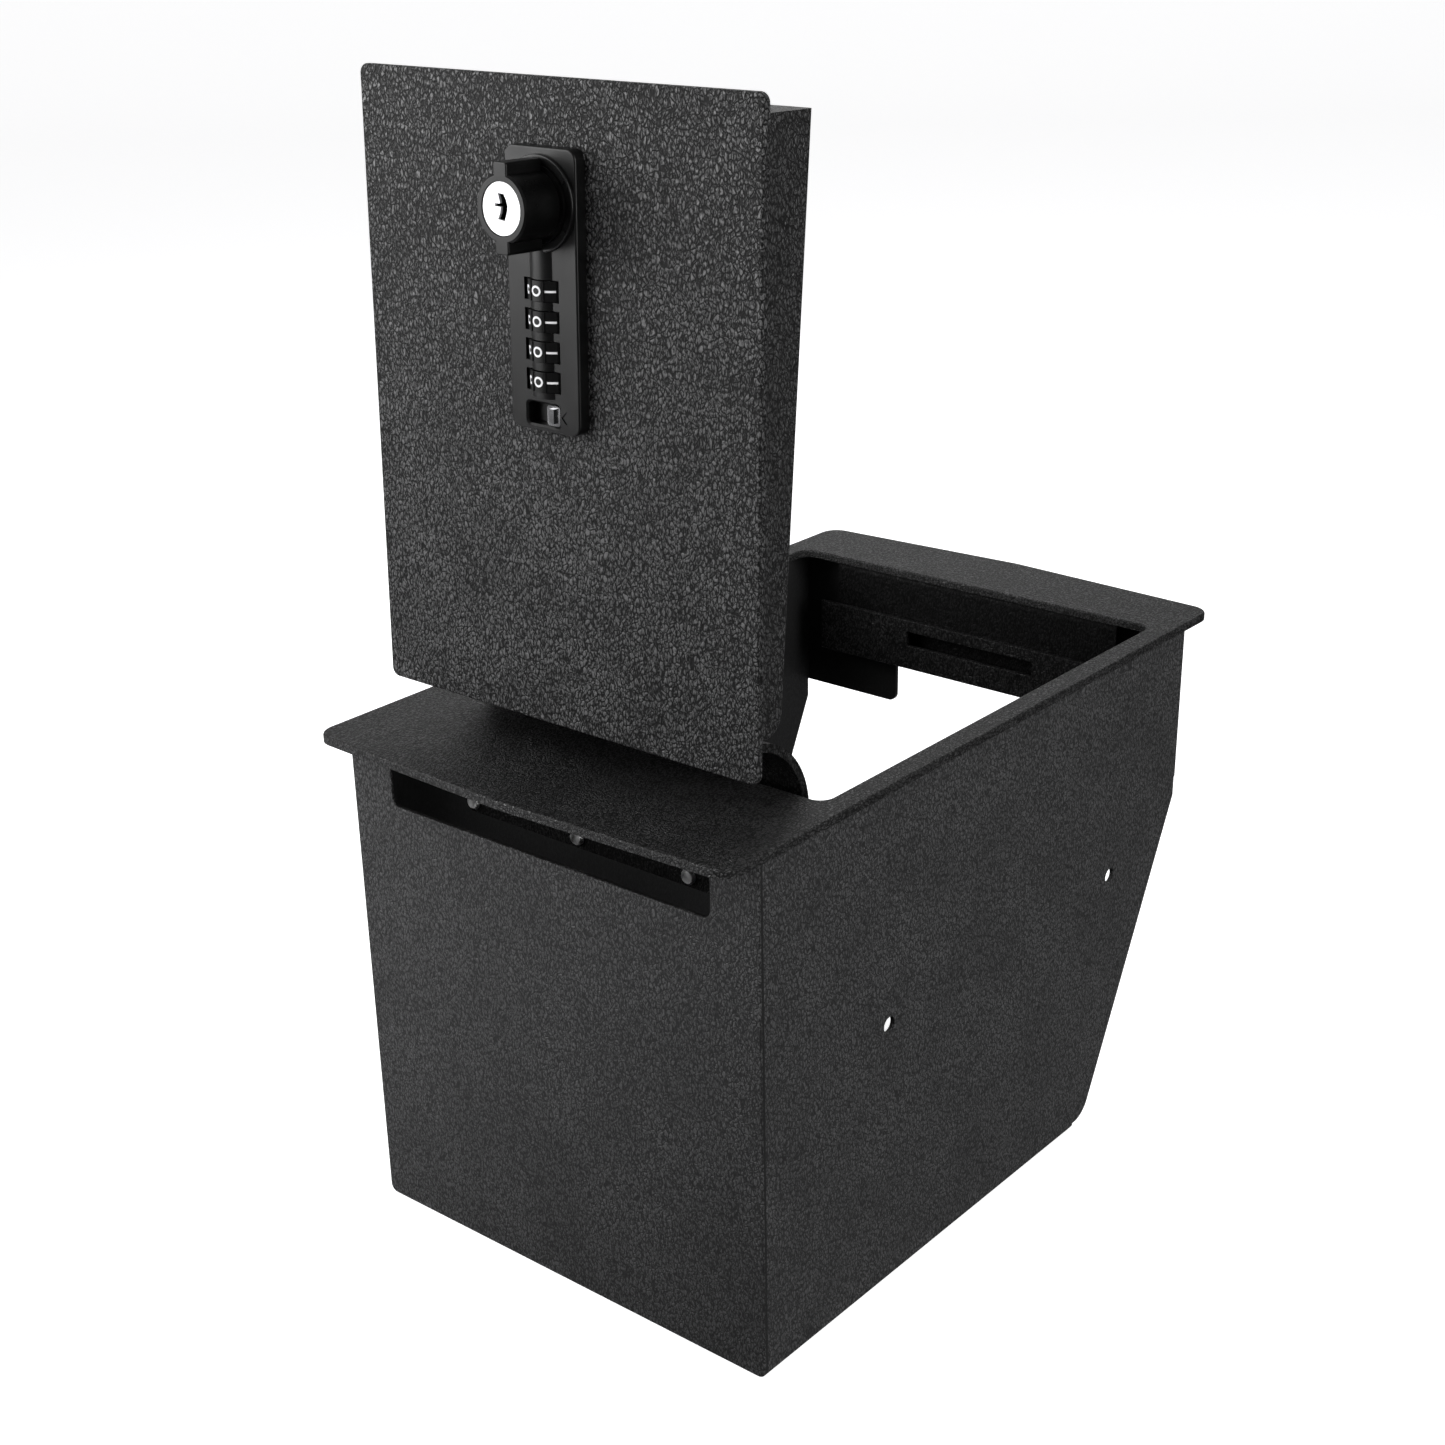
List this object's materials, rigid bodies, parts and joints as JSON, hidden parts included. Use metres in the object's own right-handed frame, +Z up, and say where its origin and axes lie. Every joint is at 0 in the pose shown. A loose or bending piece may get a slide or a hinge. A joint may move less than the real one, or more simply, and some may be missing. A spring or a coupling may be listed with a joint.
{
  "type": "locking vehicle console insert safe",
  "caption": "Open-backed textured black steel tub with a rim flange and a hinged lid that carries a keyed combination lock; secures valuables in a vehicle console.",
  "frame": {"origin": "mid width and mid length of the rim flange, level with the underside of the floor", "axes": "+X to the right seen from the hinge end, +Y from the hinge end to the latch end, +Z up"},
  "size_m": [0.2112, 0.3502, 0.4721],
  "materials": {
    "coated_steel": "leather-grain textured black powder coat",
    "zinc_steel": "zinc plated",
    "bright_rivet": "bright nickel",
    "lock_casting": "smooth satin black",
    "knob_black": "smooth satin black",
    "slider_metal": "dark chrome",
    "plug_brass": "machined",
    "disc_chrome": "satin chrome",
    "dial_black": "black with white figures"
  },
  "bodies": {
    "tub": {"tub_shell": "coated_steel", "front_wall": "coated_steel", "top_flange": "coated_steel", "latch_bracket": "coated_steel", "strike_plate": "coated_steel", "latch_cover": "coated_steel", "hinge_rail": "coated_steel", "hinge_leaf_fixed": "zinc_steel", "rail_rivets": "bright_rivet", "hinge_pin": "zinc_steel"},
    "lid": {"hinge_leaf_lid": "zinc_steel", "arm_rivets": "zinc_steel", "gooseneck": "coated_steel", "lid_plate": "coated_steel", "lid_pan": "coated_steel", "lock_faceplate": "lock_casting", "lock_housing": "lock_casting", "lock_bridge": "zinc_steel", "lock_screws": "zinc_steel", "dial_shaft": "zinc_steel", "dial_spring": "zinc_steel", "spindle_clip": "zinc_steel"},
    "knob": {"knob": "knob_black", "cam_spindle": "zinc_steel", "cam_spacer": "zinc_steel", "latch_cam": "zinc_steel", "cam_nut": "zinc_steel"},
    "plug": {"key_plug": "plug_brass", "key_disc": "disc_chrome"},
    "slider": {"code_slider": "slider_metal"},
    "dial_1": {"dial_wheel_1": "dial_black"},
    "dial_2": {"dial_wheel_2": "dial_black"},
    "dial_3": {"dial_wheel_3": "dial_black"},
    "dial_4": {"dial_wheel_4": "dial_black"}
  },
  "joints": [
    {"name": "lid_hinge", "type": "hinge", "parent": "tub", "child": "lid", "pos_m": [0, -0.1291, 0.212], "axis": [1, 0, 0], "range_deg": [-88, 0]},
    {"name": "knob_turn", "type": "hinge", "parent": "lid", "child": "knob", "pos_m": [0, -0.13245, 0.4314], "axis": [0, -0.9994, 0.0349], "range_deg": [-90, 0]},
    {"name": "key_turn", "type": "hinge", "parent": "knob", "child": "plug", "pos_m": [0, -0.13245, 0.4314], "axis": [0, -0.9994, 0.0349], "range_deg": [0, 90]},
    {"name": "dial_1_spin", "type": "hinge", "parent": "lid", "child": "dial_1", "pos_m": [-0.0004, -0.13216, 0.40232], "axis": [0, 0.0349, 0.9994], "continuous": true},
    {"name": "dial_2_spin", "type": "hinge", "parent": "lid", "child": "dial_2", "pos_m": [-0.0004, -0.13252, 0.39188], "axis": [0, 0.0349, 0.9994], "continuous": true},
    {"name": "dial_3_spin", "type": "hinge", "parent": "lid", "child": "dial_3", "pos_m": [-0.0004, -0.13289, 0.38144], "axis": [0, 0.0349, 0.9994], "continuous": true},
    {"name": "dial_4_spin", "type": "hinge", "parent": "lid", "child": "dial_4", "pos_m": [-0.0004, -0.13325, 0.37099], "axis": [0, 0.0349, 0.9994], "continuous": true},
    {"name": "code_slide", "type": "slide", "parent": "lid", "child": "slider", "axis": [1, 0, 0], "range_m": [-0.0088, 0]}
  ]
}
